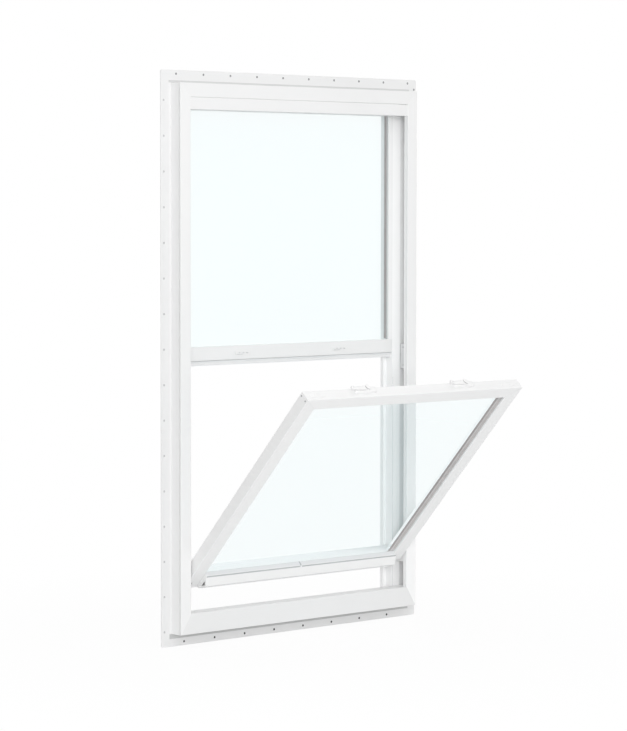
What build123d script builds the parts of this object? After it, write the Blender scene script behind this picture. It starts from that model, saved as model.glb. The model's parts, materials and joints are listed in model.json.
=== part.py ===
from build123d import *
import math
import os

# Single hung window, white vinyl, with its lower sash raised a little and tilted into the room.
# +X is right as seen from the room, +Y runs outdoors and +Z is up, in millimetres.
# The origin lies on the room side of the nail fin, at the middle of the sill's fin strip.

# Outer frame
frame_width = 898.5
frame_height = 1505.0
room_depth = 41.3
outdoor_depth = 41.3
edge_radius = 1.5

# Groove round the outside of the frame, for wall trim
trim_groove_setback = 2.5
trim_groove_width = 5.0
trim_groove_depth = 3.5

# Nail fin, with the rows of nail holes measured from its lower or left end
fin_width = 35.0
fin_thickness = 2.0
fin_corner_radius = 5.0
nail_hole_radius = 3.2
nail_row_inset = 10.5
side_row_start = 7.0
side_row_pitch = 96.7
head_row_start = 54.25
head_row_pitch = 97.8
sill_row_start = 80.25
sill_row_pitch = 110.7
corner_hole_inset = 7.85
corner_hole_rise = 7.0

# Jamb profile: distances in from the outer side, and planes across the depth
room_leg_width = 37.0
room_leg_thickness = 14.3
parting_plane = 4.0
parting_width = 54.25
stop_plane = 30.0
stop_width = 65.6
pocket_wall = 5.0
pocket_lip_width = 26.65
pocket_recess_plane = 14.0

# Head, and the slot by which its stop is pried out
head_face_height = 38.4
head_stop_height = 33.6
head_stop_setback = 1.0
head_stop_thickness = 30.0
pry_slot_length = 31.0
pry_slot_height = 2.0
pry_slot_depth = 4.0
pry_slot_end = 5.8

# Sill, with weep slots in its outdoor face
sill_face_height = 57.0
sill_step = 7.0
sill_fall = 18.0
weep_offset = 260.0
weep_length = 34.0
weep_height = 6.0
weep_depth = 8.0
weep_rise = 10.0

# Fixed meeting rail, measured from the frame's underside
meeting_rail_top = 783.5
meeting_face_height = 37.7
meeting_lip_height = 15.0
meeting_lip_setback = 8.0
meeting_lip_thickness = 7.0

# Glazing of both lites
pane_thickness = 3.0
pane_gap = 14.0
glass_bite = 10.0
glass_edge_gap = 2.0
spacer_width = 11.0
spacer_reveal = 1.0
bead_width = 15.5

# Sash
sash_thickness = 32.0
sash_side_gap = 5.0
sash_seal_gap = 7.4
sash_sill_gap = 6.0
stile_width = 44.5
top_rail_height = 37.3
sight_height = 647.1
sight_above_pivot = 17.0
rail_radius = 40.0
corner_gap = 6.0

# Lift along the sash's bottom rail: reaches are out from the sash's middle plane
lift_ridge_reach = 24.6
lift_ridge_drop = 2.2
lift_ridge_radius = 3.0
lift_tip_reach = 39.0
lift_tip_radius = 2.0
lift_wall = 4.0

# Pose of the sash, and its pivots
tilt_angle = 42.74
raise_height = 57.7
pivot_radius = 4.0
pivot_length = 24.0
pivot_clearance = 0.05
shoe_clearance = 0.3
shoe_height = 60.0
shoe_inset = 2.0

# Balances in the jamb pockets
balance_bottom = 697.0
balance_height = 72.0
balance_inset = 6.0

# Locks on the sash, set back towards the outdoors
lock_offset = 186.0
lock_setback = 6.0
lock_base_length = 78.0
lock_base_width = 18.0
lock_base_height = 5.0
lock_boss_radius = 8.5
lock_boss_height = 9.0
lock_hub_radius = 8.0
lock_hub_height = 8.0
lever_length = 62.0
lever_root_width = 14.0
lever_tip_width = 9.0
lever_thickness = 5.0
lever_tab_length = 9.0
lever_tab_rise = 5.0
lever_clearance = 0.3

# Keepers on the meeting rail, and tilt latches on the sash
keeper_length = 58.0
keeper_height = 9.0
keeper_thickness = 2.0
keeper_drop = 17.0
keeper_screw_radius = 1.8
keeper_screw_inset = 8.0
keeper_slot_length = 14.0
keeper_slot_height = 3.0
latch_length = 60.0
latch_width = 14.0
latch_height = 3.0
latch_end_gap = 16.0

# Derived planes and lines
bottom = fin_width / 2
top = bottom + frame_height
half_width = frame_width / 2
room_plane = -room_depth
leg_back = room_plane + room_leg_thickness
leg_edge = half_width - room_leg_width
parting_edge = half_width - parting_width
stop_edge = half_width - stop_width
pocket_edge = half_width - pocket_lip_width
groove_front = room_plane + trim_groove_setback
groove_back = groove_front + trim_groove_width
ledge = bottom + sill_face_height
head_line = top - head_face_height
head_stop_line = head_line - head_stop_height
rail_top = bottom + meeting_rail_top
rail_face_bottom = rail_top - meeting_face_height
rail_bottom = rail_face_bottom - meeting_lip_height
glass_thickness = 2 * pane_thickness + pane_gap
upper_glass_plane = stop_plane - glass_thickness
bead_edge = parting_edge - bead_width
room_face = Plane.XZ.offset(room_depth)

# Sash lines in its own plane: x across, y up the sash from the pivots, z towards the room
sash_half = leg_edge - sash_side_gap
sash_face = sash_thickness / 2
sight_edge = sash_half - stile_width
sight_top = sight_above_pivot + sight_height
sash_top = sight_top + top_rail_height
rail_half = parting_edge - corner_gap
pivot_plane = parting_plane - sash_seal_gap - sash_face
closed_pivot = ledge + sash_sill_gap + rail_radius
pivot_height = closed_pivot + raise_height
tilt = math.radians(tilt_angle)
sash_plane = Plane(
    origin=(0, pivot_plane, pivot_height),
    x_dir=(1, 0, 0),
    z_dir=(0, -math.cos(tilt), -math.sin(tilt)),
)
room_side = Axis((0, 0, 0), sash_plane.z_dir)
up_the_sash = Axis((0, 0, 0), sash_plane.y_dir)

os.makedirs("parts", exist_ok=True)


def save(piece, name):
    piece.part.label = name
    export_step(piece.part, f"parts/{name}.step")


def rectangle(x0, x1, y0, y1, mode=Mode.ADD):
    with Locations(((x0 + x1) / 2, (y0 + y1) / 2)):
        Rectangle(abs(x1 - x0), abs(y1 - y0), mode=mode)


# Half of a corner of the frame's room face, cut along its mitre
def mitre_half(side, inner, outer, third):
    Polygon((side * leg_edge, inner), (side * half_width, outer), (side * third[0], third[1]), align=None)


# Jambs: a room leg, the balance pocket, the parting step and the outdoor stop
def jamb_block(side):
    with BuildPart() as jamb:
        with BuildSketch(Plane.XY.offset(bottom)):
            rectangle(side * half_width, side * leg_edge, room_plane, parting_plane)
            rectangle(side * half_width, side * parting_edge, parting_plane, stop_plane)
            rectangle(side * half_width, side * stop_edge, stop_plane, outdoor_depth)
            fillet(vertices().group_by(Axis.Y)[0], edge_radius)
            rectangle(
                side * half_width, side * (half_width - trim_groove_depth),
                groove_front, groove_back, mode=Mode.SUBTRACT,
            )
        extrude(amount=frame_height)
        with BuildSketch(Plane.XY.offset(ledge)):
            outer = side * (half_width - pocket_wall)
            rectangle(outer, side * leg_edge, leg_back, parting_plane)
            rectangle(outer, side * pocket_edge, parting_plane, pocket_recess_plane)
        extrude(amount=head_line - ledge, mode=Mode.SUBTRACT)
        with BuildSketch(room_face):
            mitre_half(side, head_line, top, (leg_edge, top))
            mitre_half(side, ledge, bottom, (leg_edge, bottom))
        extrude(amount=-room_leg_thickness, mode=Mode.SUBTRACT)
    return jamb


for side, name in ((-1, "left"), (1, "right")):
    save(jamb_block(side), f"{name}_jamb")

# Head, mitred to the jambs on the room side and stepped in behind
with BuildPart() as head:
    with BuildSketch(Plane.YZ):
        rectangle(room_plane, leg_back, head_line, top)
        fillet(vertices().group_by(Axis.X)[0], edge_radius)
        rectangle(groove_front, groove_back, top - trim_groove_depth, top, mode=Mode.SUBTRACT)
    extrude(amount=half_width, both=True)
    with BuildSketch(room_face):
        mitre_half(-1, head_line, top, (half_width, head_line))
        mitre_half(1, head_line, top, (half_width, head_line))
    extrude(amount=-room_leg_thickness, mode=Mode.SUBTRACT)
    with BuildSketch(Plane.XY.offset(head_line)):
        rectangle(-leg_edge, leg_edge, leg_back, parting_plane)
        rectangle(-parting_edge, parting_edge, parting_plane, stop_plane)
        rectangle(-stop_edge, stop_edge, stop_plane, outdoor_depth)
    extrude(amount=head_face_height)
    with BuildSketch(Plane.XY.offset(head_stop_line)):
        rectangle(-stop_edge, stop_edge, stop_plane, outdoor_depth)
    extrude(amount=head_stop_height)
save(head, "head")

# Stop across the head that closes the sash track
stop_front = room_plane + head_stop_setback
with BuildPart() as head_stop:
    with BuildSketch(Plane.YZ):
        rectangle(stop_front, stop_front + head_stop_thickness, head_stop_line, head_line)
        fillet(vertices().group_by(Axis.X)[0], edge_radius)
    extrude(amount=leg_edge, both=True)
    with BuildSketch(Plane.YZ.offset(leg_edge - pry_slot_end)):
        rectangle(stop_front, stop_front + pry_slot_depth, head_line - pry_slot_height, head_line)
    extrude(amount=-pry_slot_length, mode=Mode.SUBTRACT)
save(head_stop, "head_stop")

# Sill: a flat ledge under the sash, then a fall to the outdoors
fall_start = ledge - sill_step
fall_rate = sill_fall / (outdoor_depth - parting_plane)
fall_middle = fall_start - fall_rate * (stop_plane - parting_plane)
fall_end = fall_start - sill_fall
with BuildPart() as sill:
    with BuildSketch(Plane.YZ):
        rectangle(room_plane, leg_back, bottom, ledge)
        fillet(vertices().group_by(Axis.X)[0], edge_radius)
        rectangle(groove_front, groove_back, bottom, bottom + trim_groove_depth, mode=Mode.SUBTRACT)
    extrude(amount=half_width, both=True)
    with BuildSketch(room_face):
        mitre_half(-1, ledge, bottom, (half_width, ledge))
        mitre_half(1, ledge, bottom, (half_width, ledge))
    extrude(amount=-room_leg_thickness, mode=Mode.SUBTRACT)
    with BuildSketch(Plane.YZ):
        rectangle(leg_back, parting_plane, bottom, ledge)
    extrude(amount=leg_edge, both=True)
    with BuildSketch(Plane.YZ):
        with BuildLine():
            Polyline(
                (parting_plane, bottom), (stop_plane, bottom), (stop_plane, fall_middle),
                (parting_plane, fall_start), close=True,
            )
        make_face()
    extrude(amount=parting_edge, both=True)
    with BuildSketch(Plane.YZ):
        with BuildLine():
            Polyline(
                (stop_plane, bottom), (outdoor_depth, bottom), (outdoor_depth, fall_end),
                (stop_plane, fall_middle), close=True,
            )
        make_face()
    extrude(amount=stop_edge, both=True)
    with BuildSketch(Plane.XZ.offset(-outdoor_depth)):
        with Locations((-weep_offset, bottom + weep_rise), (weep_offset, bottom + weep_rise)):
            SlotOverall(weep_length, weep_height)
    extrude(amount=weep_depth, mode=Mode.SUBTRACT)
save(sill, "sill")

# Nail fins: head and sill strips run the full width, side strips stand between them
fin_reach = half_width + fin_width
fin_back = Plane.XZ.offset(-fin_thickness)
row_reach = fin_reach - nail_row_inset


def nail_row(start, pitch, end):
    return [start + pitch * i for i in range(math.floor((end - start) / pitch) + 1)]


side_row = nail_row(bottom + side_row_start, side_row_pitch, top)
head_row = nail_row(head_row_start - fin_reach, head_row_pitch, row_reach)
sill_row = nail_row(sill_row_start - fin_reach, sill_row_pitch, row_reach)


def fin_strip(x0, x1, z0, z1, points, rounded=None):
    with BuildPart() as fin:
        with BuildSketch(fin_back):
            rectangle(x0, x1, z0, z1)
            if rounded is not None:
                fillet(vertices().group_by(Axis.Y)[rounded], fin_corner_radius)
            with Locations(*points):
                Circle(nail_hole_radius, mode=Mode.SUBTRACT)
        extrude(amount=fin_thickness)
    return fin


for side, name in ((-1, "left"), (1, "right")):
    points = [(side * row_reach, z) for z in side_row]
    save(fin_strip(side * half_width, side * fin_reach, bottom, top, points), f"{name}_fin")
head_points = [(x, top + fin_width - nail_row_inset) for x in head_row]
head_points.append((fin_reach - corner_hole_inset, top + corner_hole_rise))
save(fin_strip(-fin_reach, fin_reach, top, top + fin_width, head_points, rounded=-1), "head_fin")
sill_points = [(x, bottom - fin_width + nail_row_inset) for x in sill_row]
save(fin_strip(-fin_reach, fin_reach, bottom - fin_width, bottom, sill_points, rounded=0), "sill_fin")

# Fixed meeting rail with a groove for the upper glass and a set-back lower lip
with BuildPart() as meeting_rail:
    with BuildSketch(Plane.XY.offset(rail_face_bottom)):
        rectangle(-parting_edge, parting_edge, parting_plane, stop_plane)
        rectangle(-stop_edge, stop_edge, stop_plane, outdoor_depth)
    extrude(amount=meeting_face_height)
    with BuildSketch(Plane.XY.offset(rail_top - glass_bite - glass_edge_gap)):
        rectangle(-parting_edge, parting_edge, upper_glass_plane, stop_plane)
    extrude(amount=glass_bite + glass_edge_gap, mode=Mode.SUBTRACT)
    with BuildSketch(Plane.XY.offset(rail_bottom)):
        lip_front = parting_plane + meeting_lip_setback
        rectangle(-parting_edge, parting_edge, lip_front, lip_front + meeting_lip_thickness)
    extrude(amount=meeting_lip_height)
save(meeting_rail, "meeting_rail")

# Upper glass: two panes and the spacer between them
upper_glass_half = parting_edge - glass_edge_gap
upper_glass_low = rail_top - glass_bite
upper_glass_high = head_line - glass_edge_gap


def upper_pane(front):
    with BuildPart() as pane:
        with BuildSketch(Plane.XZ.offset(-front - pane_thickness)):
            rectangle(-upper_glass_half, upper_glass_half, upper_glass_low, upper_glass_high)
        extrude(amount=pane_thickness)
    return pane


save(upper_pane(upper_glass_plane), "upper_inner_pane")
save(upper_pane(stop_plane - pane_thickness), "upper_outer_pane")
with BuildPart() as upper_spacer:
    with BuildSketch(Plane.XZ.offset(-stop_plane + pane_thickness)):
        rectangle(-upper_glass_half, upper_glass_half, upper_glass_low, upper_glass_high)
        spacer_edge = bead_edge + spacer_reveal
        rectangle(
            -spacer_edge, spacer_edge, upper_glass_low + spacer_width, head_stop_line,
            mode=Mode.SUBTRACT,
        )
    extrude(amount=pane_gap)
save(upper_spacer, "upper_spacer")

# Beads that hold the upper glass from the room side
for side, name in ((-1, "left"), (1, "right")):
    with BuildPart() as bead:
        with BuildSketch(Plane.XY.offset(rail_top)):
            rectangle(side * bead_edge, side * parting_edge, parting_plane, upper_glass_plane)
        extrude(amount=head_line - rail_top)
    save(bead, f"upper_{name}_bead")
with BuildPart() as head_bead:
    with BuildSketch(Plane.XY.offset(head_stop_line)):
        rectangle(-bead_edge, bead_edge, parting_plane, upper_glass_plane)
    extrude(amount=head_stop_height)
save(head_bead, "upper_head_bead")

# Lock keepers on the face of the meeting rail, each with two screw holes and a slot for the cam
keeper_screw = keeper_length / 2 - keeper_screw_inset
for side, name in ((-1, "left"), (1, "right")):
    with BuildPart() as keeper:
        with BuildSketch(Plane.XZ.offset(-parting_plane)):
            with Locations((side * lock_offset, rail_top - keeper_drop - keeper_height / 2)):
                SlotOverall(keeper_length, keeper_height)
                SlotOverall(keeper_slot_length, keeper_slot_height, mode=Mode.SUBTRACT)
                with Locations((-keeper_screw, 0), (keeper_screw, 0)):
                    Circle(keeper_screw_radius, mode=Mode.SUBTRACT)
        extrude(amount=keeper_thickness)
    save(keeper, f"{name}_keeper")

# Coil balances fixed in the jamb pockets, and the shoes that carry the sash
shoe_outer = half_width - pocket_wall - shoe_clearance
shoe_inner = leg_edge + shoe_inset
for side, name in ((-1, "left"), (1, "right")):
    with BuildPart() as balance:
        with BuildSketch(Plane.XY.offset(bottom + balance_bottom)):
            rectangle(
                side * (half_width - pocket_wall), side * (leg_edge + balance_inset),
                leg_back, parting_plane,
            )
        extrude(amount=balance_height)
    save(balance, f"{name}_balance")
    with BuildPart() as shoe:
        with BuildSketch(Plane.XY.offset(pivot_height - shoe_height / 2)):
            rectangle(
                side * shoe_outer, side * shoe_inner,
                leg_back + shoe_clearance, parting_plane - shoe_clearance,
            )
        extrude(amount=shoe_height)
        with BuildSketch(Plane.YZ):
            with Locations((pivot_plane, pivot_height)):
                Circle(pivot_radius + pivot_clearance)
        extrude(amount=side * half_width, mode=Mode.SUBTRACT)
    save(shoe, f"{name}_shoe")

# Sash stiles: mitred at the top, grooved for the glass, and round about the pivots at the bottom
groove = glass_bite + glass_edge_gap
for side, name in ((-1, "left"), (1, "right")):
    end_plane = Plane(
        origin=(side * rail_half, pivot_plane, pivot_height), x_dir=(0, 1, 0), z_dir=(side, 0, 0),
    )
    pin_plane = end_plane.offset(sash_half - rail_half)
    with BuildPart() as stile:
        with BuildSketch(sash_plane.offset(-sash_face)):
            Polygon(
                (side * sight_edge, 0), (side * sash_half, 0), (side * sash_half, sash_top),
                (side * sight_edge, sight_top), align=None,
            )
        extrude(amount=sash_thickness)
        fillet(stile.edges().filter_by(up_the_sash).group_by(room_side)[-1], edge_radius)
        with BuildSketch(sash_plane.offset(-glass_thickness / 2)):
            rectangle(side * sight_edge, side * (sight_edge + groove), 0, sight_top + groove)
        extrude(amount=glass_thickness, mode=Mode.SUBTRACT)
        with BuildSketch(end_plane):
            Circle(sash_face)
        extrude(amount=sash_half - rail_half)
    save(stile, f"sash_{name}_stile")
    with BuildPart() as pivot:
        with BuildSketch(pin_plane):
            Circle(pivot_radius)
        extrude(amount=pivot_length)
    save(pivot, f"{name}_pivot_bar")

# Sash top rail, mitred to the stiles
with BuildPart() as sash_top_rail:
    with BuildSketch(sash_plane.offset(-sash_face)):
        Polygon(
            (-sash_half, sash_top), (-sight_edge, sight_top), (sight_edge, sight_top),
            (sash_half, sash_top), align=None,
        )
    extrude(amount=sash_thickness)
    fillet(sash_top_rail.edges().filter_by(Axis.X).group_by(room_side)[-1], edge_radius)
    with BuildSketch(sash_plane.offset(-glass_thickness / 2)):
        rectangle(-sight_edge - groove, sight_edge + groove, sight_top, sight_top + groove)
    extrude(amount=glass_thickness, mode=Mode.SUBTRACT)
save(sash_top_rail, "sash_top_rail")

# Sash bottom rail: its underside is round about the pivots, and between the stiles it carries the lift
rail_section = Plane(
    origin=sash_plane.origin, x_dir=-sash_plane.z_dir, z_dir=(1, 0, 0),
)
face_low = math.sqrt(rail_radius ** 2 - sash_face ** 2)
tip_low = math.sqrt(rail_radius ** 2 - lift_tip_reach ** 2)
ridge_high = sight_above_pivot - lift_ridge_drop
hollow_back = sash_face + lift_wall
hollow_low = math.sqrt((rail_radius - lift_wall) ** 2 - hollow_back ** 2)
with BuildPart() as sash_bottom_rail:
    with BuildSketch(rail_section):
        with BuildLine():
            Polyline((sash_face, -face_low), (sash_face, 0), (-sash_face, 0), (-sash_face, -face_low))
            ThreePointArc((-sash_face, -face_low), (0, -rail_radius), (sash_face, -face_low))
        make_face()
    extrude(amount=rail_half, both=True)
    with BuildSketch(rail_section):
        with BuildLine():
            Polyline(
                (sash_face, -face_low), (sash_face, sight_above_pivot), (-sash_face, sight_above_pivot),
                (-lift_ridge_reach, ridge_high), (-lift_tip_reach, -tip_low),
            )
            ThreePointArc((-lift_tip_reach, -tip_low), (0, -rail_radius), (sash_face, -face_low))
        make_face()
        fillet(vertices().sort_by(Axis.X)[0], lift_tip_radius)
        fillet(vertices().group_by(Axis.Y)[-2], lift_ridge_radius)
        Polygon(
            (-hollow_back, ridge_high - 2 * lift_wall), (-hollow_back, -hollow_low),
            (-lift_tip_reach + lift_wall, -tip_low), align=None, mode=Mode.SUBTRACT,
        )
    extrude(amount=sight_edge, both=True)
    with BuildSketch(sash_plane.offset(-glass_thickness / 2)):
        rectangle(-sight_edge, sight_edge, sight_above_pivot - groove, sight_above_pivot)
    extrude(amount=glass_thickness, mode=Mode.SUBTRACT)
save(sash_bottom_rail, "sash_bottom_rail")

# Sash glass: two panes and the spacer between them
sash_glass_half = sight_edge + glass_bite
sash_glass_low = sight_above_pivot - glass_bite
sash_glass_high = sight_top + glass_bite


def sash_pane(back):
    with BuildPart() as pane:
        with BuildSketch(sash_plane.offset(back)):
            rectangle(-sash_glass_half, sash_glass_half, sash_glass_low, sash_glass_high)
        extrude(amount=pane_thickness)
    return pane


save(sash_pane(pane_gap / 2), "sash_inner_pane")
save(sash_pane(-glass_thickness / 2), "sash_outer_pane")
with BuildPart() as sash_spacer:
    with BuildSketch(sash_plane.offset(-pane_gap / 2)):
        rectangle(-sash_glass_half, sash_glass_half, sash_glass_low, sash_glass_high)
        rectangle(
            -sash_glass_half + spacer_width, sash_glass_half - spacer_width,
            sash_glass_low + spacer_width, sash_glass_high - spacer_width, mode=Mode.SUBTRACT,
        )
    extrude(amount=pane_gap)
save(sash_spacer, "sash_spacer")

# Locks and tilt latches on top of the sash; both levers rest open, pointing left
deck = Plane(
    origin=sash_plane.from_local_coords((0, sash_top, 0)),
    x_dir=(1, 0, 0), z_dir=sash_plane.y_dir,
)
lever_low = lock_boss_height + lever_clearance
arm_low = lever_low + (lock_hub_height - lever_thickness) / 2
for side, name in ((-1, "left"), (1, "right")):
    hub_x = side * lock_offset
    tip_x = hub_x - lever_length
    root = lever_root_width / 2
    end = lever_tip_width / 2
    with BuildPart() as lock_base:
        with BuildSketch(deck):
            with Locations((hub_x, lock_setback)):
                SlotOverall(lock_base_length, lock_base_width)
        extrude(amount=lock_base_height)
        with BuildSketch(deck):
            with Locations((hub_x, lock_setback)):
                Circle(lock_boss_radius)
        extrude(amount=lock_boss_height)
    save(lock_base, f"{name}_lock_base")
    with BuildPart() as lock_lever:
        with BuildSketch(deck.offset(lever_low)):
            with Locations((hub_x, lock_setback)):
                Circle(lock_hub_radius)
        extrude(amount=lock_hub_height)
        with BuildSketch(deck.offset(arm_low)):
            Polygon(
                (hub_x, lock_setback - root), (hub_x, lock_setback + root), (tip_x, lock_setback + end),
                (tip_x, lock_setback - end), align=None,
            )
        extrude(amount=lever_thickness)
        with BuildSketch(deck.offset(arm_low)):
            rectangle(tip_x, tip_x + lever_tab_length, lock_setback - end, lock_setback + end)
        extrude(amount=lever_thickness + lever_tab_rise)
    save(lock_lever, f"{name}_lock_lever")
    with BuildPart() as tilt_latch:
        with BuildSketch(deck):
            with Locations((side * (sash_half - latch_end_gap - latch_length / 2), 0)):
                Rectangle(latch_length, latch_width)
        extrude(amount=latch_height)
    save(tilt_latch, f"{name}_tilt_latch")
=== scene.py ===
import bmesh
import bpy
import json
import math
from mathutils import Matrix, Vector


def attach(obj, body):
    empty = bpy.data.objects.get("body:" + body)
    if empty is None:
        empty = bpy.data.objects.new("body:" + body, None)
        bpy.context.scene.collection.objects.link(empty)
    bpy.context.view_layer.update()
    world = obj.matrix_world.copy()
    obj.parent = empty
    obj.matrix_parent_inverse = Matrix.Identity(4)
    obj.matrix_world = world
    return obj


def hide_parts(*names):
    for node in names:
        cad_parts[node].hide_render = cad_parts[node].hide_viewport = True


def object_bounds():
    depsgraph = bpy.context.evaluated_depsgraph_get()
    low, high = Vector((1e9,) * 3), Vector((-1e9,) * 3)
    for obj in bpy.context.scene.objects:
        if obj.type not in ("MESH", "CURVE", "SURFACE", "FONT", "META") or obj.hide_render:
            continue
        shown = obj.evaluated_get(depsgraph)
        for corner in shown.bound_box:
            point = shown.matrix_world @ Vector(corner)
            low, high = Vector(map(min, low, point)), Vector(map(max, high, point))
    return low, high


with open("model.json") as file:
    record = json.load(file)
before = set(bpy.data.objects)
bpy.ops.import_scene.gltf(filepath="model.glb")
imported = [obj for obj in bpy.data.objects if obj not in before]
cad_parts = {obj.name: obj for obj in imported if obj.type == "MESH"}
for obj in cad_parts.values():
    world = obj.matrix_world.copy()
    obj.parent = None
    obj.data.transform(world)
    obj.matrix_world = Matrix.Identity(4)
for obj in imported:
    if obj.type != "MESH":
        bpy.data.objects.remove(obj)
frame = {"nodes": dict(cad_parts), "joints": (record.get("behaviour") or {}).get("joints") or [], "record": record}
cad_box = [list(corner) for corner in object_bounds()]
scene = bpy.context.scene

# Camera fitted to the photograph, which is 627 x 731 pixels
PHOTO_HEIGHT = 731
FOCAL_PIXELS = 2858.77
SENSOR_WIDTH = 36
CAMERA_PLACE = Vector((-5.43009, -5.98880, 1.18512))
CAMERA_TURN = math.radians(42.608)
CAMERA_DIP = math.radians(3.166)
CAMERA_ROLL = math.radians(-0.071)
CAMERA_REACH = 100


def make_camera():
    forward = Vector((
        math.sin(CAMERA_TURN) * math.cos(CAMERA_DIP),
        math.cos(CAMERA_TURN) * math.cos(CAMERA_DIP),
        -math.sin(CAMERA_DIP),
    ))
    level = Vector((math.cos(CAMERA_TURN), -math.sin(CAMERA_TURN), 0))
    down = forward.cross(level)
    right = level * math.cos(CAMERA_ROLL) + down * math.sin(CAMERA_ROLL)
    up = level * math.sin(CAMERA_ROLL) - down * math.cos(CAMERA_ROLL)
    turn = Matrix((right, up, -forward)).transposed()
    data = bpy.data.cameras.new("camera")
    data.sensor_width = SENSOR_WIDTH
    data.lens = FOCAL_PIXELS / PHOTO_HEIGHT * SENSOR_WIDTH
    data.clip_end = CAMERA_REACH
    camera = bpy.data.objects.new("camera", data)
    camera.matrix_world = Matrix.Translation(CAMERA_PLACE) @ turn.to_4x4()
    scene.collection.objects.link(camera)
    scene.camera = camera


# Shader nodes. Each helper takes a node tree and returns the output that carries its result.
NOISE_MIDDLE = (0.3, 0.7)
TONE_SCALE = 3.0
FINE_DETAIL = 3.0
BUMP_STRENGTH = 0.3


def new_material(name):
    material = bpy.data.materials.new(name)
    material.use_nodes = True
    tree = material.node_tree
    return material, tree, tree.nodes["Principled BSDF"]


def object_coords(tree):
    return tree.nodes.new("ShaderNodeTexCoord").outputs["Object"]


def axes_of(tree, vector):
    parts = tree.nodes.new("ShaderNodeSeparateXYZ")
    tree.links.new(vector, parts.inputs["Vector"])
    return parts.outputs


def noise(tree, scale, detail=2.0):
    texture = tree.nodes.new("ShaderNodeTexNoise")
    texture.inputs["Scale"].default_value = scale
    texture.inputs["Detail"].default_value = detail
    tree.links.new(object_coords(tree), texture.inputs["Vector"])
    return texture.outputs["Fac"]


def ramp(tree, source, low, high):
    """Colours from low to high over the middle of a noise."""
    node = tree.nodes.new("ShaderNodeValToRGB")
    for element, position, colour in zip(node.color_ramp.elements, NOISE_MIDDLE, (low, high)):
        element.position = position
        element.color = (*colour, 1)
    tree.links.new(source, node.inputs["Fac"])
    return node.outputs["Color"]


def map_range(tree, source, given, wanted=(0.0, 1.0)):
    node = tree.nodes.new("ShaderNodeMapRange")
    names = ("From Min", "From Max", "To Min", "To Max")
    for name, value in zip(names, (*given, *wanted)):
        node.inputs[name].default_value = value
    tree.links.new(source, node.inputs["Value"])
    return node.outputs["Result"]


def calculate(tree, operation, *values):
    """A math node on numbers and on outputs of other nodes."""
    node = tree.nodes.new("ShaderNodeMath")
    node.operation = operation
    for socket, value in zip(node.inputs, values):
        if isinstance(value, float):
            socket.default_value = value
        else:
            tree.links.new(value, socket)
    return node.outputs["Value"]


def mix_colours(tree, factor, first, second):
    mix = tree.nodes.new("ShaderNodeMix")
    mix.data_type = "RGBA"
    tree.links.new(factor, mix.inputs["Factor"])
    tree.links.new(first, mix.inputs["A"])
    tree.links.new(second, mix.inputs["B"])
    return mix.outputs["Result"]


def mix_shaders(tree, factor, first, second, output):
    mix = tree.nodes.new("ShaderNodeMixShader")
    tree.links.new(factor, mix.inputs["Fac"])
    tree.links.new(first, mix.inputs[1])
    tree.links.new(second, mix.inputs[2])
    tree.links.new(mix.outputs["Shader"], tree.nodes[output].inputs["Surface"])


def seen_directly(tree):
    """1 where a ray comes from the camera, a reflection or the glass, and 0 for light on the object."""
    path = tree.nodes.new("ShaderNodeLightPath").outputs
    either = calculate(tree, "MAXIMUM", path["Is Camera Ray"], path["Is Glossy Ray"])
    return calculate(tree, "MAXIMUM", either, path["Is Transmission Ray"])


# Finishes of the moulded materials: range of roughness, scale of the grain and its depth in metres
VINYL = ((0.32, 0.42), 700.0, 0.00004)
FIN = ((0.36, 0.46), 700.0, 0.00004)
RIB = ((0.35, 0.45), 700.0, 0.00004)
HARDWARE = ((0.25, 0.35), 900.0, 0.00003)
MOULDED = ((0.4, 0.5), 500.0, 0.00008)
STEEL = ((0.3, 0.4), 600.0, 0.00005)
HOLE = ((0.6, 0.8), 300.0, 0.0002)
BEAD = ((0.4, 0.5), 600.0, 0.00005)
SEAM = ((0.5, 0.6), 500.0, 0.0001)
PILE = ((0.85, 0.95), 1400.0, 0.0006)
SEALANT = ((0.4, 0.5), 400.0, 0.0001)
MARK = ((0.5, 0.7), 500.0, 0.0001)
# The lightest white, painted light on the jambs and on the slot lips
PAINTED_LIGHT_LOW, PAINTED_LIGHT_HIGH = (0.975, 0.977, 0.978), (0.983, 0.985, 0.986)

GLASS_SCALE, GLASS_ALPHA, GLASS_ROUGH = 2.0, 0.03, (0.01, 0.03)
METAL_SCALE, METAL_ROUGH = 400.0, (0.14, 0.24)
METAL_LOW, METAL_HIGH = (0.95, 0.965, 0.97), (0.97, 0.98, 0.985)


def plastic(name, low, high, rough, grain, depth):
    """A moulded surface with a faint mottle in its colour, its gloss and its grain."""
    material, tree, shader = new_material(name)
    tone = ramp(tree, noise(tree, TONE_SCALE), low, high)
    tree.links.new(tone, shader.inputs["Base Color"])
    mottle = noise(tree, grain, FINE_DETAIL)
    tree.links.new(map_range(tree, mottle, NOISE_MIDDLE, rough), shader.inputs["Roughness"])
    bump = tree.nodes.new("ShaderNodeBump")
    bump.inputs["Strength"].default_value = BUMP_STRENGTH
    bump.inputs["Distance"].default_value = depth
    tree.links.new(mottle, bump.inputs["Height"])
    tree.links.new(bump.outputs["Normal"], shader.inputs["Normal"])
    return material


def glass(name):
    material, tree, shader = new_material(name)
    tone = noise(tree, GLASS_SCALE)
    tint = ramp(tree, tone, (0.44, 0.94, 1.0), (0.48, 0.97, 1.0))
    tree.links.new(tint, shader.inputs["Base Color"])
    tree.links.new(map_range(tree, tone, NOISE_MIDDLE, GLASS_ROUGH), shader.inputs["Roughness"])
    shader.inputs["Alpha"].default_value = GLASS_ALPHA
    return material


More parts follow.
